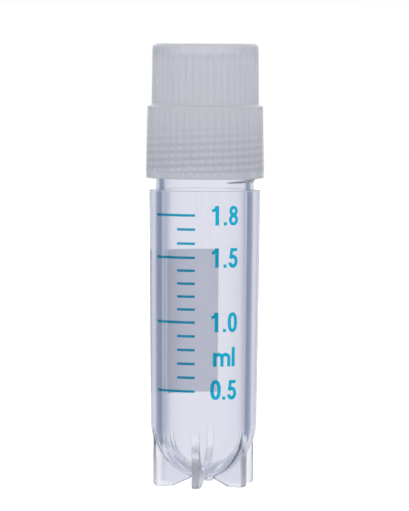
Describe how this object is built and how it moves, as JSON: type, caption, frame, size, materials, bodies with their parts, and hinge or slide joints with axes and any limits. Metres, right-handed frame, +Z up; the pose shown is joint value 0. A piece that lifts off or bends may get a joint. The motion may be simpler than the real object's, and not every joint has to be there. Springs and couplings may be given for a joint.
{
  "type": "cryogenic vial",
  "caption": "Clear round-bottomed tube on a star foot, with an outside thread, a printed volume scale and a ribbed translucent screw cap sealed by a washer.",
  "frame": {"origin": "centre of the circle through the feet, on the plane that the vial stands on", "axes": "+Z up the tube's axis to the cap, -Y through the middle of the printed scale and along one fin of the star foot, +X to the right of someone who reads the scale"},
  "size_m": [0.0132, 0.0132, 0.0494],
  "materials": {
    "clear_plastic": "clear polypropylene with a faint cool haze, glossy",
    "cap_plastic": "natural translucent polypropylene, satin",
    "silicone": "soft translucent silicone, matte",
    "blue_ink": "printed ink, semi-gloss",
    "white_ink": "printed writing patch, matte"
  },
  "bodies": {
    "vial": {"vial": "clear_plastic"},
    "seal": {"seal_washer": "silicone"},
    "cap": {"cap": "cap_plastic"}
  },
  "joints": [
    {"name": "cap_lift", "type": "slide", "parent": "vial", "child": "seal", "axis": [0, 0, 1], "range_m": [0, 0.0096]},
    {"name": "cap_turn", "type": "hinge", "parent": "seal", "child": "cap", "pos_m": [0, 0, 0.0421], "axis": [0, 0, 1], "range_deg": [0, 2160]}
  ],
  "couplings": [
    {"joint": "cap_turn", "follows": "cap_lift", "rad_per_m": 3927}
  ]
}
